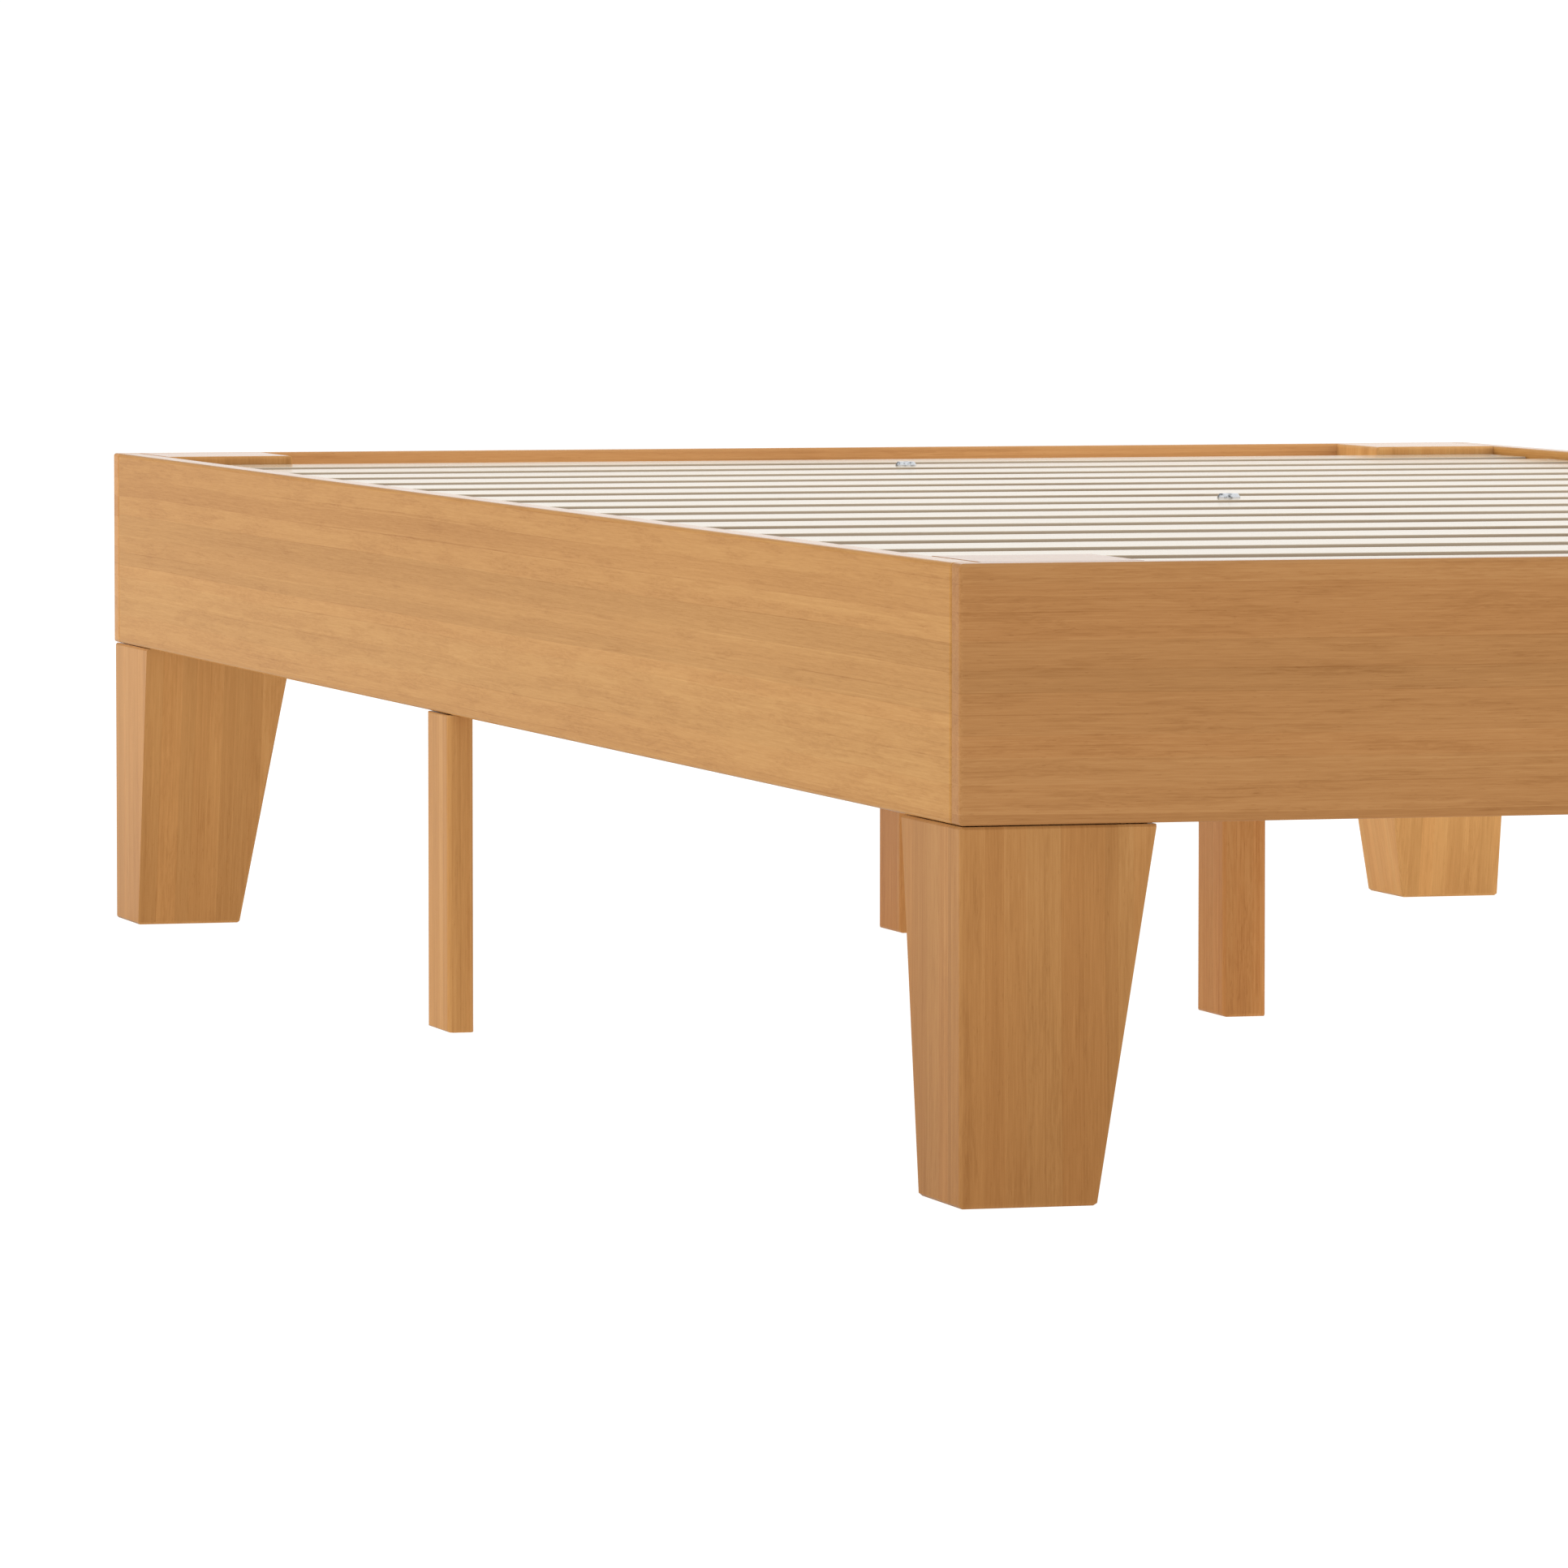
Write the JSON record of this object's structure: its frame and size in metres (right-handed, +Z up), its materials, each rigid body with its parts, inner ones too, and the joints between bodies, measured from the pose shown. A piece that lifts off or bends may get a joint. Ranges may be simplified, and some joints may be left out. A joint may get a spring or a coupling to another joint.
{
  "type": "wooden bed frame",
  "caption": "Low wooden platform bed frame with plain flat side and end panels, tapered square corner posts, centre support legs and a deck of wide pale slats.",
  "frame": {"origin": "floor level under the middle of the frame", "axes": "+Z up, +Y towards the head end, +X to the right seen from the foot end"},
  "size_m": [1.048, 2.108, 0.34],
  "materials": {
    "panel_wood": "satin lacquer, grain along the board",
    "post_wood": "satin lacquer, upright grain",
    "slat_wood": "pale planed wood, grain along the slat",
    "rail_wood": "planed, unlacquered",
    "dowel_wood": "bare turned beech",
    "bolt_steel": "bright nickel plate",
    "zinc_steel": "zinc plate",
    "brass": "turned brass"
  },
  "bodies": {
    "root": {"head_panel": "panel_wood", "foot_panel": "panel_wood", "left_panel": "panel_wood", "right_panel": "panel_wood", "post_foot_left": "post_wood", "post_foot_right": "post_wood", "post_head_left": "post_wood", "post_head_right": "post_wood", "side_leg_left": "post_wood", "side_leg_right": "post_wood", "side_leg_plate_left": "zinc_steel", "side_leg_plate_right": "zinc_steel", "centre_leg_head": "post_wood", "centre_leg_middle": "post_wood", "centre_leg_foot": "post_wood", "centre_rail": "rail_wood", "rail_hanger_head": "zinc_steel", "rail_hanger_foot": "zinc_steel", "cleat_left": "rail_wood", "cleat_right": "rail_wood", "slat_01": "slat_wood", "slat_02": "slat_wood", "slat_03": "slat_wood", "slat_04": "slat_wood", "slat_05": "slat_wood", "slat_06": "slat_wood", "slat_07": "slat_wood", "slat_08": "slat_wood", "slat_09": "slat_wood", "slat_10": "slat_wood", "slat_11": "slat_wood", "slat_12": "slat_wood", "slat_13": "slat_wood", "slat_14": "slat_wood", "slat_15": "slat_wood", "slat_16": "slat_wood", "corner_bolts": "bolt_steel", "panel_inserts": "brass", "panel_dowels": "dowel_wood", "centre_bolts": "bolt_steel", "leg_inserts": "brass", "leg_dowels": "dowel_wood", "slat_screws": "zinc_steel", "cleat_screws": "zinc_steel", "plate_screws": "zinc_steel", "hanger_screws": "zinc_steel", "rail_screws": "zinc_steel"}
  },
  "joints": []
}
